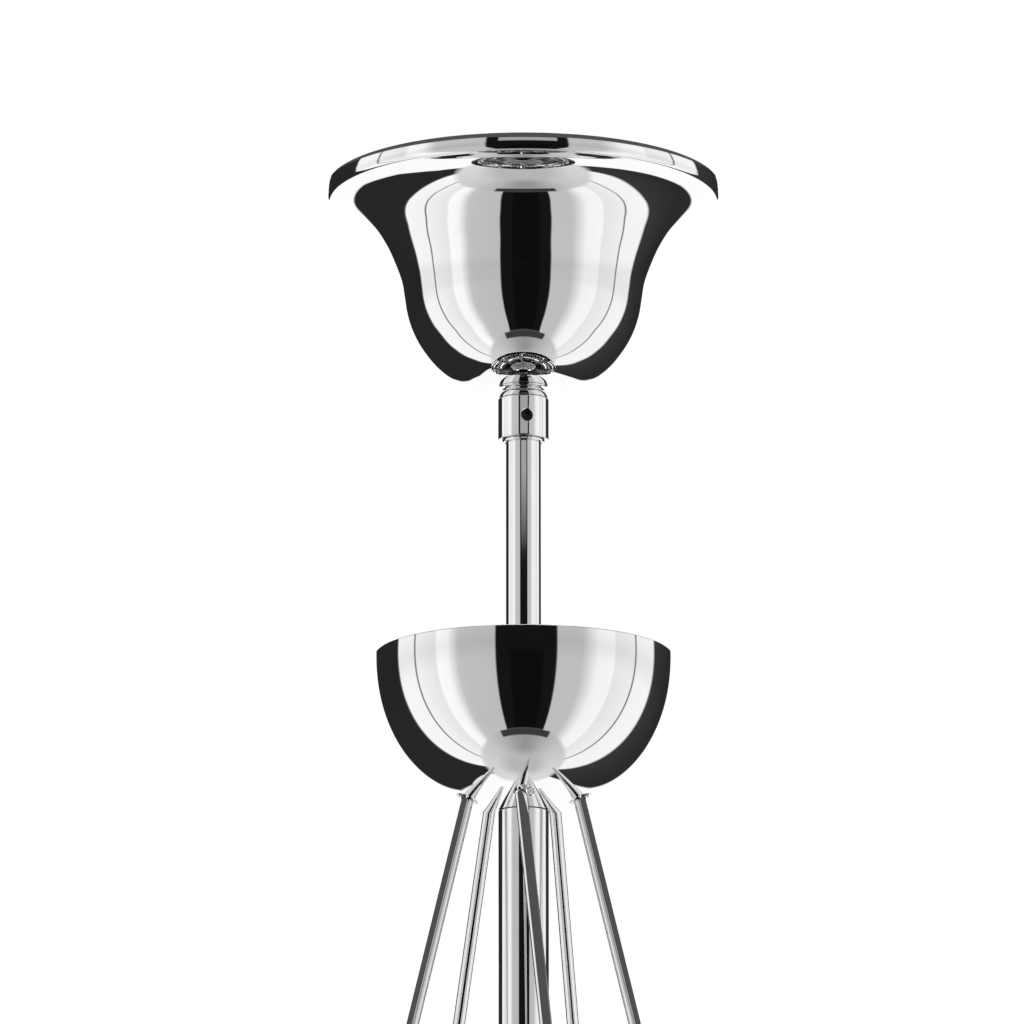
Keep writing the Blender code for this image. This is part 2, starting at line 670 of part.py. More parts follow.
def rod_path():
    """Centre line of a rod as (outward, z) from its vertical end: straight, a bend, straight."""
    tangent = ROD_BEND_R * tan(ROD_SPLAY / 2)
    path = [(0.0, ROD_TOP), (0.0, ROD_BEND_Z + tangent)]
    steps = 4
    for k in range(1, steps + 1):
        a = ROD_SPLAY * k / steps
        path.append((ROD_BEND_R * (1 - cos(a)), ROD_BEND_Z + tangent - ROD_BEND_R * sin(a)))
    path.append(((ROD_BEND_Z - ROD_END) * tan(ROD_SPLAY), ROD_END))
    return path


def make_rod(number, looks):
    path = rod_path()
    bm = bmesh.new()
    loops = []
    for i, (out, z) in enumerate(path):
        if i < 2:
            lean = 0.0
        else:
            lean = min(ROD_SPLAY, ROD_SPLAY * (i - 1) / 4)
        loop = []
        for k in range(THIN_SIDES):
            a = 2 * pi * k / THIN_SIDES
            across, side = ROD_R * cos(a), ROD_R * sin(a)
            loop.append(bm.verts.new((out + across * cos(lean), side, z + across * sin(lean))))
        loops.append(loop)
    for near, far in zip(loops, loops[1:]):
        for k in range(THIN_SIDES):
            m = (k + 1) % THIN_SIDES
            bm.faces.new((near[k], near[m], far[m], far[k]))
    bm.faces.new(loops[0])
    bm.faces.new(loops[-1])
    rod = finish(bm, f"thin_rod_{number + 1}", looks["chrome"])
    move_mesh(rod, Matrix.Rotation(rod_angle(number) + ROD_TURNS[number], 4, "Z"))
    rod.location = (*rod_place(number), 0)
    return rod


def make_rod_fasteners(number, looks):
    """A nut under the plate, and a washer and a nut on top of it."""
    place = rod_place(number)
    low = plate_bottom() - GAP
    hole = ROD_R + GAP
    hex_nut(f"rod_nut_lower_{number + 1}", ROD_NUT_WIDTH, hole, low - ROD_NUT_HEIGHT, low, looks["zinc"],
            place, rod_angle(number))
    washer_low = PLATE_TOP + GAP
    washer = ring(f"rod_washer_{number + 1}", 0.0060, hole, washer_low, washer_low + WASHER_THICK,
                  looks["zinc"], sides=THIN_SIDES)
    move_mesh(washer, Matrix.Translation((*place, 0)))
    nut_low = washer_low + WASHER_THICK + GAP
    hex_nut(f"rod_nut_upper_{number + 1}", ROD_NUT_WIDTH, hole, nut_low, nut_low + ROD_NUT_HEIGHT, looks["zinc"],
            place, rod_angle(number))


def clear_scene():
    for thing in list(bpy.data.objects):
        bpy.data.objects.remove(thing)


def main():
    clear_scene()
    looks = make_materials()
    make_strap(looks)
    make_yoke(looks)
    make_yoke_fasteners(looks)
    make_terminal_block(looks)
    make_earth_screw(looks)
    make_pin("upper_pin", UPPER_PIN_Z, (1, 0, 0), looks)
    make_cross_link(looks)
    make_pin("lower_pin", LOWER_PIN_Z, (0, 1, 0), looks)
    make_clevis(looks)
    make_downrod(looks)
    make_hub(looks)
    make_bowl(looks)
    make_centre_tube(looks)
    for number in range(ROD_COUNT):
        make_rod(number, looks)
        make_rod_fasteners(number, looks)
    make_collar(looks)
    make_dome(looks)
    make_bush(looks)
    make_grub_screw(looks)
    make_canopy(looks)


main()
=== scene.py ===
"""Looks for the ceiling-light suspension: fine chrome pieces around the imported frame, and a soft studio.

Metres, +Z up. The ceiling plane is z = 0 and the front of the object is -Y.
"""

import json
from math import cos, pi, radians, sin, tan

import bmesh
import bpy
from mathutils import Matrix, Vector


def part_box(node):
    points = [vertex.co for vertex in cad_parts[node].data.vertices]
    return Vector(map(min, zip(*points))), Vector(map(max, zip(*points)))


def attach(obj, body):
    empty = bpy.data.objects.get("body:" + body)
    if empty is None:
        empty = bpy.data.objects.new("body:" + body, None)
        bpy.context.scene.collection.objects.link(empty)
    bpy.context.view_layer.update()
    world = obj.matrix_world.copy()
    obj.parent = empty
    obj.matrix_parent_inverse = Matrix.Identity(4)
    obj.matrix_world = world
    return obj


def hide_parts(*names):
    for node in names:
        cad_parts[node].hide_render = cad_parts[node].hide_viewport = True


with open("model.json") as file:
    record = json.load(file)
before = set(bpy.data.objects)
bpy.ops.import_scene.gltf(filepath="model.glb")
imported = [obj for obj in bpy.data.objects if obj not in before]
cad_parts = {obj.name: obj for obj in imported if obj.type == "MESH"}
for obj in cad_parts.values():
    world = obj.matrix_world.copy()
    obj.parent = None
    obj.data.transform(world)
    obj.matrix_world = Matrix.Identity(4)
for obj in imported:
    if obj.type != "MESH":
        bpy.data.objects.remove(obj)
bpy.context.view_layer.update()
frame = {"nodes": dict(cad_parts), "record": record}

# Fineness of the meshes
SHELL_SIDES = 320
TUBE_SIDES = 96
SMALL_SIDES = 48
ROD_SIDES = 40
CANOPY_STEPS = 8
BOWL_STEPS = 60
DOME_STEPS = 16
BEND_STEPS = 10

# Corners: the sizes of rounded edges, the bend that counts as gentle, and the angles shaded as edges
WIDE_EDGE = 0.0005
EDGE = 0.0003
FINE_EDGE = 0.0002
GENTLE_BEND = radians(160)
CREASE = radians(35)
FINE_CREASE = radians(30)

# Sheet metal and tubes
SHEET = 0.0010
BOWL_SHEET = 0.0012
TUBE_WALL = 0.0012

# Bowl: a superellipse with a flat middle, a central hole and five holes for the rods
BOWL_R = 0.0672
BOWL_RIM_Z = -0.2200
BOWL_DEPTH = 0.0726
BOWL_POWER = 2.12
BOWL_FLAT_R = 0.013
BOWL_HOLE_R = 0.0053
ROD_HOLE_R = 0.0048
ROD_HOLE_RISE = 0.003
ROD_DRILL_ENDS = (-0.30, -0.27)
SAME_SLOPE = 0.985

# Rods: the turns and offsets are those of the five rods in the photograph
ROD_COUNT = 5
ROD_R = 0.00275
ROD_AXIS_R = 0.022
ROD_SPLAY = radians(13.9)
ROD_BEND_Z = -0.2700
ROD_BEND_R = 0.012
ROD_TURNS = (radians(24), 0, radians(16), 0, 0)
ROD_OFFSETS = (radians(-8), 0, 0, 0, 0)

# Collar, its domed seat and its bush
COLLAR_BORE_R = 0.0083
COLLAR_RECESS_R = 0.0095
COLLAR_RECESS_DEPTH = 0.0048
DOME_R = 0.0111
DOME_RISE = 0.0092
BUSH_R = 0.0092
BUSH_RIM = 0.0010

# The grub screw's hole, and the drill that cuts it: its half length, how far inside the barrel its middle
# lies, and where its mouth starts and ends to widen
GRUB_TURN = radians(8.3)
GRUB_HOLE_R = 0.0027
GRUB_MOUTH_R = 0.0033
GRUB_DRILL_REACH = 0.004
GRUB_DRILL_SINK = 0.001
GRUB_MOUTH_START = 0.0006
GRUB_MOUTH_END = 0.0012

# Camera, below the object and looking up at it
CAMERA_TILT = radians(13.1)
CAMERA_DISTANCE = 3.3
CAMERA_AIM = Vector((-0.0052, 0, -0.1534))
CAMERA_LENS = 255.4
CAMERA_SENSOR = 36
CAMERA_REACH = 50

FLOOR_Z = -2.4
FLOOR_REACH = 15
LAMP_Z = 2.5
LAMP_SIZE = 1.8
LAMP_POWER = 28


# Mesh building

def shade(mesh, crease=CREASE):
    """Smooth shading, apart from edges sharper than the crease."""
    mesh.shade_smooth()
    mesh.set_sharp_from_angle(angle=crease)


def finish_mesh(bm, name, look, body, replaced):
    """Makes an object from a bmesh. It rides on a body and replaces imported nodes."""
    bmesh.ops.recalc_face_normals(bm, faces=bm.faces)
    mesh = bpy.data.meshes.new(name)
    bm.to_mesh(mesh)
    bm.free()
    shade(mesh)
    mesh.materials.append(look)
    made = bpy.data.objects.new(name, mesh)
    bpy.context.scene.collection.objects.link(made)
    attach(made, body)
    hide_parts(*replaced)
    return made


def turned(profile, sides):
    """A bmesh turned about Z from a closed loop of (radius, z)."""
    bm = bmesh.new()
    loops = []
    for r, z in profile:
        if r < 1e-7:
            loops.append([bm.verts.new((0, 0, z))])
            continue
        loops.append([bm.verts.new((r * cos(2 * pi * k / sides), r * sin(2 * pi * k / sides), z))
                      for k in range(sides)])
    for i in range(len(loops)):
        near, far = loops[i - 1], loops[i]
        for k in range(sides):
            m = (k + 1) % sides
            corners = []
            for v in (near[k % len(near)], near[m % len(near)], far[m % len(far)], far[k % len(far)]):
                if v not in corners:
                    corners.append(v)
            if len(corners) > 2:
                bm.faces.new(corners)
    return bm


def smooth_curve(points, steps):
    """A smooth curve through points, with steps pieces between neighbours."""
    spots = [Vector(p) for p in points]
    chords = [(b - a).length for a, b in zip(spots, spots[1:])]
    slopes = []
    for i in range(len(spots)):
        if i == 0:
            slopes.append((spots[1] - spots[0]) / chords[0])
        elif i == len(spots) - 1:
            slopes.append((spots[i] - spots[i - 1]) / chords[i - 1])
        else:
            back = (spots[i] - spots[i - 1]) / chords[i - 1]
            ahead = (spots[i + 1] - spots[i]) / chords[i]
            share = chords[i - 1] / (chords[i - 1] + chords[i])
            slopes.append(back * (1 - share) + ahead * share)
    made = []
    for i, chord in enumerate(chords):
        for k in range(steps):
            t = k / steps
            made.append(tuple(spots[i] * (2 * t ** 3 - 3 * t ** 2 + 1)
                              + slopes[i] * chord * (t ** 3 - 2 * t ** 2 + t)
                              + spots[i + 1] * (3 * t ** 2 - 2 * t ** 3)
                              + slopes[i + 1] * chord * (t ** 3 - t ** 2)))
    return made + [tuple(spots[-1])]


def thickened(outline, sheet):
    """A closed section: the outline, and back along its inner side its offset by the sheet's thickness."""
    inner = []
    for i, point in enumerate(outline):
        before = Vector(outline[max(i - 1, 0)])
        after = Vector(outline[min(i + 1, len(outline) - 1)])
        along = (after - before).normalized()
        inner.append((point[0] + along.y * sheet, point[1] - along.x * sheet))
    return list(outline) + inner[::-1]


def rounded(profile, edge):
    """A closed loop with rounded corners. Gentle bends stay as they are.

    A point just past each corner keeps the long sides' shading straight.
    """
    steps = 4
    spare = edge * 0.3
    long = edge * 4
    made = []
    for i, point in enumerate(profile):
        here = Vector(point)
        before = Vector(profile[i - 1]) - here
        after = Vector(profile[(i + 1) % len(profile)]) - here
        reach = min(edge, before.length * 0.45, after.length * 0.45)
        if point[0] < 1e-7 or reach < 1e-6 or before.angle(after) > GENTLE_BEND:
            made.append(point)
            continue
        start = here + before.normalized() * reach
        end = here + after.normalized() * reach
        if before.length > long:
            made.append(tuple(start + before.normalized() * spare))
        for k in range(steps + 1):
            t = k / steps
            made.append(tuple(start * (1 - t) ** 2 + here * 2 * t * (1 - t) + end * t ** 2))
        if after.length > long:
            made.append(tuple(end + after.normalized() * spare))
    return made


def cut(thing, bm, place):
    """Cuts a shape, put at a place, out of an object."""
    bmesh.ops.recalc_face_normals(bm, faces=bm.faces)
    bm.transform(place)
    mesh = bpy.data.meshes.new("tool")
    bm.to_mesh(mesh)
    bm.free()
    tool = bpy.data.objects.new("tool", mesh)
    bpy.context.scene.collection.objects.link(tool)
    modifier = thing.modifiers.new("hole", "BOOLEAN")
    modifier.operation = "DIFFERENCE"
    modifier.solver = "EXACT"
    modifier.object = tool
    bpy.context.view_layer.update()
    graph = bpy.context.evaluated_depsgraph_get()
    result = bpy.data.meshes.new_from_object(thing.evaluated_get(graph))
    thing.modifiers.clear()
    thing.data = result
    bpy.data.objects.remove(tool)


# Canopy

def canopy_outline():
    """The spun bell's outer side as (radius, z), from its rim to its hole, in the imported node's size."""
    low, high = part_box("canopy")
    rim = (high.x - low.x) / 2
    lip = [(rim - 0.00025, high.z), (rim - 0.00005, -0.0015), (rim, -0.0032), (rim - 0.0001, -0.0050),
           (rim - 0.0005, -0.0068), (rim - 0.0014, -0.0078)]
    flange = [(0.0876, -0.0079), (0.0853, -0.0084), (0.0800, -0.0105), (0.0742, -0.0143)]
    flare = [(0.0692, -0.0188), (0.0633, -0.0276), (0.0591, -0.0368), (0.0559, -0.0462)]
    belly = [(0.0546, -0.0540), (0.0536, -0.0600), (0.0520, -0.0658), (0.0485, -0.0737),
             (0.0450, -0.0792), (0.0412, -0.0841), (0.0362, -0.0892), (0.0310, -0.0932)]
    dimple = [(0.0255, -0.0960), (0.0200, -0.0971), (0.0150, low.z), (0.0120, -0.0967), (0.0093, -0.0954)]
    return lip + flange + flare + belly + dimple


def make_canopy(chrome):
    outline = smooth_curve(canopy_outline(), CANOPY_STEPS)
    section = rounded(thickened(outline, SHEET), EDGE)
    finish_mesh(turned(section, SHELL_SIDES), "canopy_shell", chrome, "canopy", ["canopy"])


# Bowl

def bowl_outline():
    """The outer side of the bowl as (radius, z), with points close together where it turns."""
    made = []
    for k in range(BOWL_STEPS + 1):
        a = pi / 2 * k / BOWL_STEPS
        r = BOWL_R * cos(a) ** (2 / BOWL_POWER)
        z = BOWL_RIM_Z - BOWL_DEPTH * sin(a) ** (2 / BOWL_POWER)
        if r > BOWL_FLAT_R:
            made.append((r, z))
    floor_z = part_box("bowl")[0].z
    return made + [(BOWL_FLAT_R, floor_z), (BOWL_HOLE_R, floor_z)]


def surface_normal(r, z):
    """Outward slope of the bowl's superellipse at a point, as (out, up)."""
    across = (max(r, 1e-6) / BOWL_R) ** (BOWL_POWER - 1) / BOWL_R
    down = (max(BOWL_RIM_Z - z, 1e-6) / BOWL_DEPTH) ** (BOWL_POWER - 1) / BOWL_DEPTH
    return Vector((across, -down)).normalized()


def bowl_normals(mesh):
    """Corner normals by the bowl's formula, apart from edges, holes and the flat middle."""
    normals = []
    for polygon in mesh.polygons:
        for index in polygon.loop_indices:
            point = mesh.vertices[mesh.loops[index].vertex_index].co
            r = Vector((point.x, point.y)).length
            flat = surface_normal(r, point.z)
            out = Vector((point.x, point.y, 0)).normalized()
            smooth = Vector((out.x * flat.x, out.y * flat.x, flat.y))
            likeness = polygon.normal.dot(smooth)
            if r > BOWL_FLAT_R and abs(likeness) > SAME_SLOPE:
                normals.append(smooth if likeness > 0 else -smooth)
            else:
                normals.append(mesh.corner_normals[index].vector.copy())
    return normals


def make_bowl(chrome):
    """The shell with its rod holes. Its normals come from the formula, so the cuts don't mark the chrome."""
    section = rounded(thickened(bowl_outline(), BOWL_SHEET), WIDE_EDGE)
    bowl = finish_mesh(turned(section, SHELL_SIDES), "bowl_shell", chrome, "stem", ["bowl"])
    low, high = ROD_DRILL_ENDS
    for number in range(ROD_COUNT):
        drill = turned([(0, low), (0, high), (ROD_HOLE_R, high), (ROD_HOLE_R, low)], SMALL_SIDES)
        cut(bowl, drill, Matrix.Translation(around(rod_angle(number), rod_hole_distance())))
    shade(bowl.data)
    bowl.data.normals_split_custom_set(bowl_normals(bowl.data))


# Rods

def around(angle, radius):
    return Vector((radius * cos(angle), radius * sin(angle), 0))


def rod_angle(number):
    """Even bearing of a rod, counted from the front."""
    return -pi / 2 + 2 * pi * number / ROD_COUNT


def rod_hole_distance():
    """How far from the axis a splayed rod passes through the bowl."""
    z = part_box("bowl")[0].z + ROD_HOLE_RISE
    return ROD_AXIS_R + (ROD_BEND_Z - z) * tan(ROD_SPLAY)


def rod_path():
    """Centre line of a rod as (outward, z, lean)."""
    low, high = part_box("thin_rod_1")
    tangent = ROD_BEND_R * tan(ROD_SPLAY / 2)
    path = [(0.0, high.z, 0.0), (0.0, ROD_BEND_Z + tangent, 0.0)]
    for k in range(1, BEND_STEPS + 1):
        a = ROD_SPLAY * k / BEND_STEPS
        path.append((ROD_BEND_R * (1 - cos(a)), ROD_BEND_Z + tangent - ROD_BEND_R * sin(a), a))
    end = low.z + ROD_R * sin(ROD_SPLAY)
    path.append(((ROD_BEND_Z - end) * tan(ROD_SPLAY), end, ROD_SPLAY))
    return path


def ends_moved(path, edge):
    """The path with both ends shortened by an edge, and a second point close to each end."""
    (out, z, lean), (end_out, end_z, end_lean) = path[0], path[-1]
    head = [(out, z - edge, lean), (out, z - 2 * edge, lean)]
    tail = [(end_out - step * sin(end_lean), end_z + step * cos(end_lean), end_lean)
            for step in (2 * edge, edge)]
    return head + path[1:-1] + tail


def make_rod(number, chrome):
    """A bent round bar. Its end rings are repeated a little smaller, which softens the edges."""
    path = rod_path()
    rings = [(*path[0], ROD_R - EDGE)]
    rings += [(out, z, lean, ROD_R) for out, z, lean in ends_moved(path, EDGE)]
    rings += [(*path[-1], ROD_R - EDGE)]
    bm = bmesh.new()
    loops = []
    for out, z, lean, radius in rings:
        loop = []
        for k in range(ROD_SIDES):
            a = 2 * pi * k / ROD_SIDES
            across, side = radius * cos(a), radius * sin(a)
            loop.append(bm.verts.new((out + across * cos(lean), side, z + across * sin(lean))))
        loops.append(loop)
    for near, far in zip(loops, loops[1:]):
        for k in range(ROD_SIDES):
            m = (k + 1) % ROD_SIDES
            bm.faces.new((near[k], near[m], far[m], far[k]))
    bm.faces.new(loops[0])
    bm.faces.new(loops[-1])
    turn = Matrix.Rotation(rod_angle(number) + ROD_TURNS[number], 3, "Z")
    bmesh.ops.rotate(bm, verts=bm.verts, cent=(0, 0, 0), matrix=turn)
    stands_at = around(rod_angle(number) + ROD_OFFSETS[number], ROD_AXIS_R)
    bmesh.ops.translate(bm, vec=stands_at, verts=bm.verts)
    finish_mesh(bm, f"rod_{number + 1}_bar", chrome, f"rod_{number + 1}", [f"thin_rod_{number + 1}"])


# Tubes and collar

def half_width(node):
    low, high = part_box(node)
    return (high.x - low.x) / 2


def make_tubes(chrome):
    """The downrod and the centre tube, with softened ends."""
    for node in ("downrod", "centre_tube"):
        low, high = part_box(node)
        outer = half_width(node)
        inner = outer - TUBE_WALL
        profile = [(inner, high.z), (outer, high.z), (outer, low.z), (inner, low.z)]
        finish_mesh(turned(rounded(profile, EDGE), TUBE_SIDES), node + "_tube", chrome, "stem", [node])


def grub_drill():
    """The cutter for the grub screw's hole, which widens at the barrel's surface."""
    reach = GRUB_DRILL_REACH
    profile = [(0, reach), (0, -reach), (GRUB_HOLE_R, -reach), (GRUB_HOLE_R, GRUB_MOUTH_START),
               (GRUB_MOUTH_R, GRUB_MOUTH_END), (GRUB_MOUTH_R, reach)]
    return turned(profile, SMALL_SIDES)


def make_collar_barrel(chrome):
    """The set collar, recessed below for its bush, with the grub screw's hole at the front."""
    low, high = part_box("set_collar")
    outer = half_width("set_collar")
    recess_z = low.z + COLLAR_RECESS_DEPTH
    profile = [(COLLAR_BORE_R, high.z), (outer, high.z), (outer, low.z), (COLLAR_RECESS_R, low.z),
               (COLLAR_RECESS_R, recess_z), (COLLAR_BORE_R, recess_z)]
    section = rounded(profile, WIDE_EDGE)
    barrel = finish_mesh(turned(section, TUBE_SIDES), "collar_barrel", chrome, "collar", ["set_collar"])
    direction = Vector((sin(GRUB_TURN), -cos(GRUB_TURN), 0))
    turn = Vector((0, 0, 1)).rotation_difference(direction).to_matrix().to_4x4()
    middle = Vector((0, 0, (low.z + high.z) / 2))
    cut(barrel, grub_drill(), Matrix.Translation(middle + direction * (outer - GRUB_DRILL_SINK)) @ turn)
    shade(barrel.data, FINE_CREASE)


def make_collar_seat(chrome):
    """The domed seat on the collar: the lower part of half an ellipse."""
    low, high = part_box("collar_dome")
    top_share = (high.z - low.z) / DOME_RISE
    outer = []
    for k in range(DOME_STEPS + 1):
        share = top_share * (1 - k / DOME_STEPS)
        outer.append((DOME_R * (1 - share ** 2) ** 0.5, low.z + share * DOME_RISE))
    section = rounded([(COLLAR_BORE_R, high.z)] + outer + [(COLLAR_BORE_R, low.z)], FINE_EDGE)
    finish_mesh(turned(section, TUBE_SIDES), "collar_seat", chrome, "collar", ["collar_dome"])


def make_collar_ring(chrome):
    """The flanged bush under the collar."""
    low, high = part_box("collar_bush")
    rim = half_width("collar_bush")
    rim_z = low.z + BUSH_RIM
    profile = [(COLLAR_BORE_R, high.z), (BUSH_R, high.z), (BUSH_R, rim_z), (rim, rim_z), (rim, low.z),
               (COLLAR_BORE_R, low.z)]
    section = rounded(profile, FINE_EDGE)
    finish_mesh(turned(section, TUBE_SIDES), "collar_ring", chrome, "collar", ["collar_bush"])


# Materials

class Nodes:
    """A short way to add and link shader nodes."""

    def __init__(self, tree):
        self.tree = tree

    def add(self, kind, inputs=None, **settings):
        node = self.tree.nodes.new(kind)
        for name, value in settings.items():
            setattr(node, name, value)
        for name, value in (inputs or {}).items():
            self.feed(node, name, value)
        return node

    def feed(self, node, name, value):
        """Links a socket to an input, or sets the input's own value."""
        if isinstance(value, bpy.types.NodeSocket):
            self.tree.links.new(value, node.inputs[name])
        else:
            node.inputs[name].default_value = value

    def math(self, operation, a, b=0.0):
        return self.add("ShaderNodeMath", {0: a, 1: b}, operation=operation).outputs[0]

    def ramp(self, factor, stops):
        """A colour ramp from (position, brightness or colour) stops."""
        node = self.add("ShaderNodeValToRGB", {"Fac": factor})
        stop_list = node.color_ramp.elements
        while len(stop_list) < len(stops):
            stop_list.new(1.0)
        for element, (place, colour) in zip(stop_list, stops):
            element.position = place
            element.color = (colour, colour, colour, 1) if isinstance(colour, float) else (*colour, 1)
        return node.outputs["Color"]

    def noise(self, vector, scale, detail, roughness):
        inputs = {"Vector": vector, "Scale": scale, "Detail": detail, "Roughness": roughness}
        return self.add("ShaderNodeTexNoise", inputs).outputs["Fac"]

    def step(self, value, start, end):
        """0 at the start, 1 at the end, straight in between."""
        inputs = {"Value": value, "From Min": start, "From Max": end}
        return self.add("ShaderNodeMapRange", inputs).outputs[0]

    def below(self, value, limit, soft):
        """1 below a limit, with a soft edge."""
        return self.step(value, limit + soft, limit - soft)

    def band(self, value, low, high, soft):
        """1 between two limits, with soft edges."""
        return self.math("MULTIPLY", self.step(value, low - soft, low + soft), self.below(value, high, soft))

    def curve(self, value, low, high, points):
        """A number that follows points of (value, number), through a grey ramp."""
        least = min(number for _, number in points)
        most = max(number for _, number in points)
        stops = [((place - low) / (high - low), (number - least) / max(most - least, 1e-6))
                 for place, number in points]
        grey = self.ramp(self.step(value, low, high), stops)
        return self.math("ADD", self.math("MULTIPLY", grey, most - least), least)

    def over(self, mask, under, top):
        """One colour, or a plain brightness, laid over another by a mask."""
        under, top = ((light, light, light, 1) if isinstance(light, float) else light
                      for light in (under, top))
        return self.add("ShaderNodeMix", {"Factor": mask, 6: under, 7: top}, data_type="RGBA").outputs[2]


class Look(Nodes):
    """A material with its shader. Its patterns lie in the object's own coordinates."""

    def __init__(self, name, metallic):
        self.material = bpy.data.materials.new(name)
        self.material.use_nodes = True
        super().__init__(self.material.node_tree)
        self.shader = self.tree.nodes["Principled BSDF"]
        self.shader.inputs["Metallic"].default_value = metallic
        self.place = self.add("ShaderNodeTexCoord").outputs["Object"]

    def finish(self, colour, roughness, height, strength, depth):
        """Links colour, roughness and a bump of the given height, and gives the material."""
        bump = self.add("ShaderNodeBump", {"Height": height, "Strength": strength, "Distance": depth})
        self.feed(self.shader, "Base Color", colour)
        self.feed(self.shader, "Roughness", roughness)
        self.feed(self.shader, "Normal", bump.outputs["Normal"])
        return self.material


def chrome_material():
    """Polished chrome: faint handling marks, hairlines and a very slight waviness of the plating."""
    look = Look("polished_chrome", 1.0)
    cloud = look.noise(look.place, scale=38.0, detail=5.0, roughness=0.6)
    colour = look.ramp(cloud, [(0.30, (0.835, 0.840, 0.842)), (0.70, (0.870, 0.873, 0.875))])
    stretch = look.add("ShaderNodeMapping", {"Vector": look.place, "Scale": (2600.0, 2600.0, 70.0)})
    hairline = look.noise(stretch.outputs["Vector"], scale=1.0, detail=2.0, roughness=0.5)
    marks = look.ramp(cloud, [(0.35, 0.012), (0.62, 0.020), (0.80, 0.045)])
    fine = look.ramp(hairline, [(0.55, 0.0), (0.75, 0.012)])
    waves = look.noise(look.place, scale=16.0, detail=1.0, roughness=0.4)
    return look.finish(colour, look.math("ADD", marks, fine), waves, strength=0.05, depth=0.0006)


def zinc_material():
    """Zinc-plated steel: cloudy spangle, a dull sheen and fine scratches."""
    look = Look("zinc_plated_steel", 1.0)
    cloud = look.noise(look.place, scale=160.0, detail=6.0, roughness=0.65)
    colour = look.ramp(cloud, [(0.28, (0.50, 0.52, 0.55)), (0.52, (0.63, 0.64, 0.64)),
                               (0.75, (0.70, 0.69, 0.64))])
    roughness = look.ramp(cloud, [(0.30, 0.26), (0.70, 0.42)])
    grain = look.noise(look.place, scale=1800.0, detail=3.0, roughness=0.6)
    return look.finish(colour, roughness, grain, strength=0.25, depth=0.00005)


def brass_material():
    """Turned brass with tool rings and a little tarnish."""
    look = Look("turned_brass", 1.0)
    cloud = look.noise(look.place, scale=210.0, detail=5.0, roughness=0.6)
    colour = look.ramp(cloud, [(0.30, (0.50, 0.36, 0.16)), (0.60, (0.74, 0.58, 0.30)),
                               (0.80, (0.80, 0.66, 0.38))])
    roughness = look.ramp(cloud, [(0.30, 0.36), (0.75, 0.20)])
    rings = look.add("ShaderNodeTexWave", {"Vector": look.place, "Scale": 900.0, "Distortion": 1.5},
                     wave_type="BANDS", bands_direction="Z").outputs["Fac"]
    return look.finish(colour, roughness, rings, strength=0.2, depth=0.00004)


def black_steel_material():
    """Blackened steel, worn a little brighter in patches."""
    look = Look("blackened_steel", 0.9)
    cloud = look.noise(look.place, scale=420.0, detail=5.0, roughness=0.65)
    colour = look.ramp(cloud, [(0.40, (0.030, 0.030, 0.032)), (0.75, (0.13, 0.13, 0.13))])
    roughness = look.ramp(cloud, [(0.35, 0.42), (0.75, 0.28)])
    return look.finish(colour, roughness, cloud, strength=0.2, depth=0.00005)


def block_material():
    """Moulded off-white plastic with a fine texture and a little yellowing."""
    look = Look("moulded_plastic", 0.0)
    cloud = look.noise(look.place, scale=90.0, detail=4.0, roughness=0.55)
    colour = look.ramp(cloud, [(0.30, (0.70, 0.69, 0.63)), (0.70, (0.80, 0.79, 0.75))])
    grain = look.noise(look.place, scale=2600.0, detail=2.0, roughness=0.5)
    roughness = look.ramp(grain, [(0.30, 0.38), (0.70, 0.52)])
    return look.finish(colour, roughness, grain, strength=0.3, depth=0.00006)


def floor_material():
    look = Look("pale_floor", 0.0)
    cloud = look.noise(look.place, scale=1.5, detail=3.0, roughness=0.5)
    look.feed(look.shader, "Base Color", look.ramp(cloud, [(0.30, 0.90), (0.70, 0.94)]))
    look.feed(look.shader, "Roughness", 0.85)
    return look.material


# Studio: what the chrome shows by direction. Bearings are in degrees, 0 towards the camera and plus to its
# right, heights are in degrees above the horizon, and greys go from 0 to 255.

# Bearing and grey of the upright panels
PANELS = (
    (-180, 38), (-114, 38), (-113, 246), (-93.2, 243), (-92.9, 45), (-91.9, 45), (-91.6, 242),
    (-72, 228), (-71, 251), (-61, 246), (-52, 194), (-46, 190), (-22, 187), (-21.3, 20),
    (25.3, 20), (26, 190), (46, 190), (60, 241), (75, 246), (76, 229), (96.2, 238), (96.5, 45),
    (97.5, 45), (97.8, 242), (120.5, 245), (121.5, 55), (150, 42), (180, 42),
)
PANEL_TOP = 21.5
PANEL_TOP_SOFT = 1.0

# A slight dip in the panels' light: lowest and highest height, softness and share
DIP = (0.0, 9.0, 5.0)
DIP_SHARE = 0.14

# Height and the bearing, left and right, at which the white backdrop begins behind the black panels
BACKDROP = ((-90.0, 128.0, 138.0), (-60.0, 135.0, 144.0), (-45.0, 150.0, 150.0), (-30.0, 158.0, 156.0),
            (0.0, 162.5, 162.5))
BACKDROP_SOFT = 0.7
BACKDROP_GREY = 251

# Bearing away from the camera and the height of the panels' feet, and the floor's grey in front of them
FOOT = ((0.0, -57.0), (40.0, -57.5), (80.0, -63.0), (120.0, -67.5), (180.0, -69.0))
FOOT_SOFT = 1.5
FLOOR = ((0, 146), (15, 154), (34, 176), (60, 196), (100, 208), (180, 220))

# Grey areas round the camera's opening: half width and softness, lowest, highest and softness, grey
OPENING_BEARING = 2.5
CARD = (17.0, 0.4, 13.1, 20.0, 0.3, 160)
ARCH = (13.0, 1.5, -80.0, 0.0, 3.0, 13)
MAT = (34.0, 1.0, -62.0, -56.5, 0.5, 56)

# Straight below and above: the heights where each starts and is full, and its grey
NADIR = (-74.0, -82.0)
NADIR_GREY = 182
ZENITH = (60.0, 72.0)
ZENITH_GREY = 185
CEILING_GREY = 78
LIGHT_GAIN = 1.17


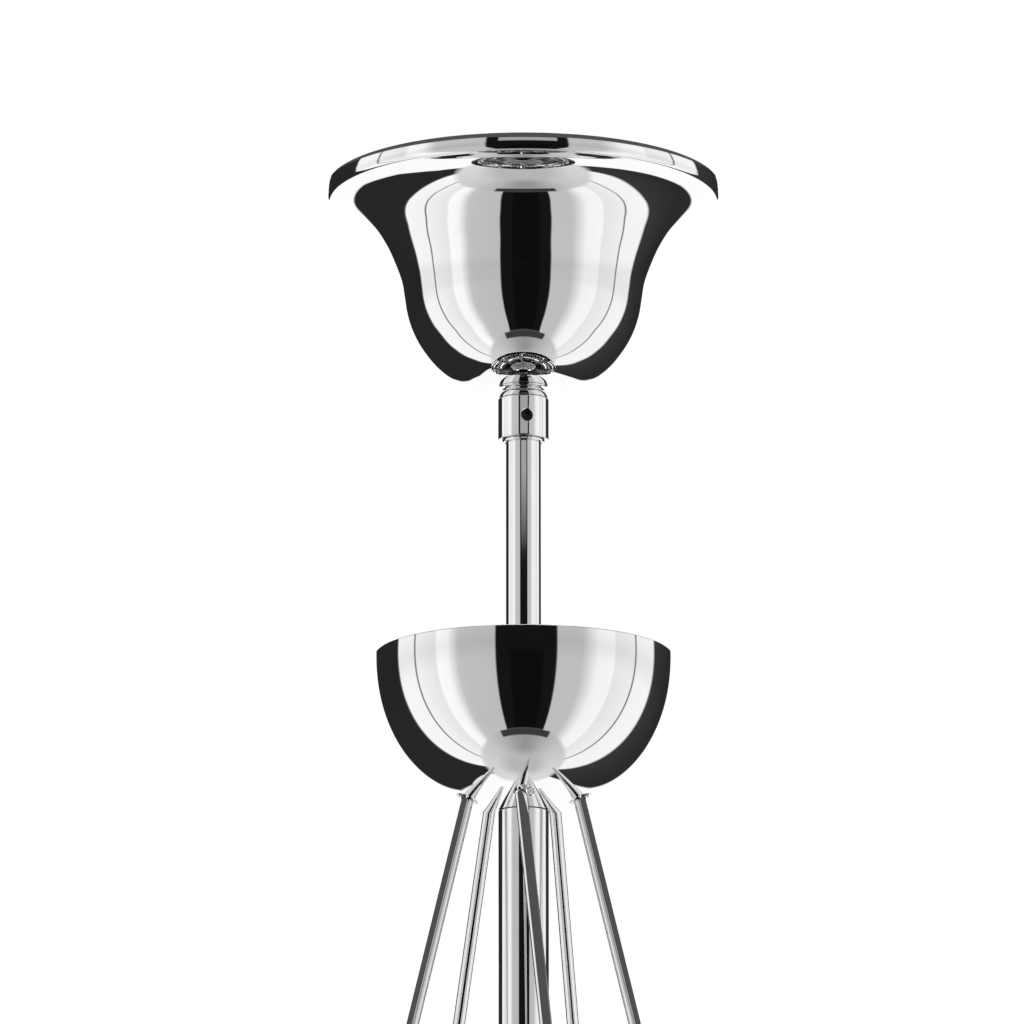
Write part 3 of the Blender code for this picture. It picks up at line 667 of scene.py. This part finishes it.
def linear(grey):
    """Light of a grey from 0 to 255."""
    share = grey / 255
    if share <= 0.04045:
        return share / 12.92
    return ((share + 0.055) / 1.055) ** 2.4


def directions(nodes):
    """Bearing and height of the direction that is looked at, in degrees."""
    towards = nodes.add("ShaderNodeTexCoord").outputs["Generated"]
    x, y, z = nodes.add("ShaderNodeSeparateXYZ", {0: towards}).outputs
    turn = nodes.math("ARCTAN2", x, nodes.math("MULTIPLY", y, -1.0))
    bearing = nodes.math("MULTIPLY", turn, 180 / pi)
    height = nodes.math("MULTIPLY", nodes.math("ARCSINE", z), 180 / pi)
    return bearing, height


def panels(nodes, bearing, height):
    """The upright panels, a little dimmer just above the horizon."""
    stops = [((place + 180) / 360, linear(grey)) for place, grey in PANELS]
    light = nodes.ramp(nodes.step(bearing, -180.0, 180.0), stops)
    return nodes.over(nodes.math("MULTIPLY", nodes.band(height, *DIP), DIP_SHARE), light, 0.0)


def backdrop_edge(nodes, bearing, height):
    """The bearing at which the backdrop begins, which differs on the left and on the right."""
    left = nodes.curve(height, -90.0, 0.0, [(place, edge) for place, edge, _ in BACKDROP])
    right = nodes.curve(height, -90.0, 0.0, [(place, edge) for place, _, edge in BACKDROP])
    on_right = nodes.step(bearing, -1.0, 1.0)
    on_left = nodes.math("SUBTRACT", 1.0, on_right)
    return nodes.math("ADD", nodes.math("MULTIPLY", on_left, left), nodes.math("MULTIPLY", on_right, right))


def area(nodes, light, side, height, shape):
    """Lays one grey area over the light."""
    half, half_soft, low, high, soft, grey = shape
    mask = nodes.math("MULTIPLY", nodes.below(side, half, half_soft), nodes.band(height, low, high, soft))
    return nodes.over(mask, light, linear(grey))


def studio_light(nodes):
    """Panels round the object, a pale floor below them and a darker ceiling above."""
    bearing, height = directions(nodes)
    away = nodes.math("ABSOLUTE", bearing)
    side = nodes.math("ABSOLUTE", nodes.math("SUBTRACT", bearing, OPENING_BEARING))

    light = panels(nodes, bearing, height)
    past_edge = nodes.math("SUBTRACT", away, backdrop_edge(nodes, bearing, height))
    light = nodes.over(nodes.step(past_edge, -BACKDROP_SOFT, BACKDROP_SOFT), light, linear(BACKDROP_GREY))
    light = area(nodes, light, side, height, CARD)
    light = area(nodes, light, side, height, ARCH)

    under_foot = nodes.math("SUBTRACT", nodes.curve(away, 0.0, 180.0, FOOT), height)
    floor = nodes.ramp(nodes.step(side, 0.0, 180.0), [(place / 180, linear(grey)) for place, grey in FLOOR])
    light = nodes.over(nodes.step(under_foot, -FOOT_SOFT, FOOT_SOFT), light, floor)
    light = area(nodes, light, side, height, MAT)
    light = nodes.over(nodes.step(height, *NADIR), light, linear(NADIR_GREY))

    ceiling = nodes.over(nodes.step(height, *ZENITH), linear(CEILING_GREY), linear(ZENITH_GREY))
    above = nodes.step(height, PANEL_TOP - PANEL_TOP_SOFT, PANEL_TOP + PANEL_TOP_SOFT)
    return nodes.over(above, light, ceiling)


def make_world():
    """The studio lights the object and shows in the chrome. The camera itself sees white."""
    world = bpy.data.worlds.new("studio")
    bpy.context.scene.world = world
    world.use_nodes = True
    world.node_tree.nodes.clear()
    nodes = Nodes(world.node_tree)
    light = studio_light(nodes)
    lit = nodes.add("ShaderNodeBackground", {"Color": light, "Strength": LIGHT_GAIN}).outputs[0]
    shown = nodes.add("ShaderNodeBackground", {"Color": (1, 1, 1, 1), "Strength": 1.0}).outputs[0]
    camera_ray = nodes.add("ShaderNodeLightPath").outputs["Is Camera Ray"]
    mix = nodes.add("ShaderNodeMixShader", {0: camera_ray, 1: lit, 2: shown}).outputs[0]
    nodes.add("ShaderNodeOutputWorld", {"Surface": mix})


def make_floor():
    """A pale floor far below. It stays out of the chrome, which shows the studio's own floor."""
    bm = bmesh.new()
    bmesh.ops.create_grid(bm, x_segments=8, y_segments=8, size=FLOOR_REACH)
    bmesh.ops.translate(bm, vec=(0, 0, FLOOR_Z), verts=bm.verts)
    mesh = bpy.data.meshes.new("floor")
    bm.to_mesh(mesh)
    bm.free()
    mesh.materials.append(floor_material())
    floor = bpy.data.objects.new("floor", mesh)
    bpy.context.scene.collection.objects.link(floor)
    floor.visible_glossy = False


def make_light():
    """One wide soft light from straight above, which reaches into the canopy and onto the floor."""
    data = bpy.data.lights.new("soft_top", "AREA")
    data.shape = "DISK"
    data.size = LAMP_SIZE
    data.energy = LAMP_POWER
    lamp = bpy.data.objects.new("soft_top", data)
    lamp.location = (0, 0, LAMP_Z)
    bpy.context.scene.collection.objects.link(lamp)


def make_camera():
    data = bpy.data.cameras.new("camera")
    data.sensor_width = CAMERA_SENSOR
    data.lens = CAMERA_LENS
    data.clip_end = CAMERA_REACH
    camera = bpy.data.objects.new("camera", data)
    camera.location = CAMERA_AIM - Vector((0, cos(CAMERA_TILT), sin(CAMERA_TILT))) * CAMERA_DISTANCE
    camera.rotation_euler = (pi / 2 + CAMERA_TILT, 0, 0)
    bpy.context.scene.collection.objects.link(camera)
    bpy.context.scene.camera = camera
    bpy.context.scene.view_settings.view_transform = "Standard"


def dress_nodes(looks):
    """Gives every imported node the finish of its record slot."""
    slot_of = {part["node"]: part["material_slot"] for part in frame["record"]["subparts"]}
    for name, node in frame["nodes"].items():
        for slot in node.material_slots:
            slot.material = looks[slot_of[name]]


def main():
    make_camera()
    chrome = chrome_material()
    dress_nodes({
        "chrome": chrome,
        "zinc": zinc_material(),
        "brass": brass_material(),
        "black_steel": black_steel_material(),
        "block": block_material(),
    })
    make_canopy(chrome)
    make_bowl(chrome)
    make_tubes(chrome)
    make_collar_barrel(chrome)
    make_collar_seat(chrome)
    make_collar_ring(chrome)
    for number in range(ROD_COUNT):
        make_rod(number, chrome)
    make_world()
    make_floor()
    make_light()


main()
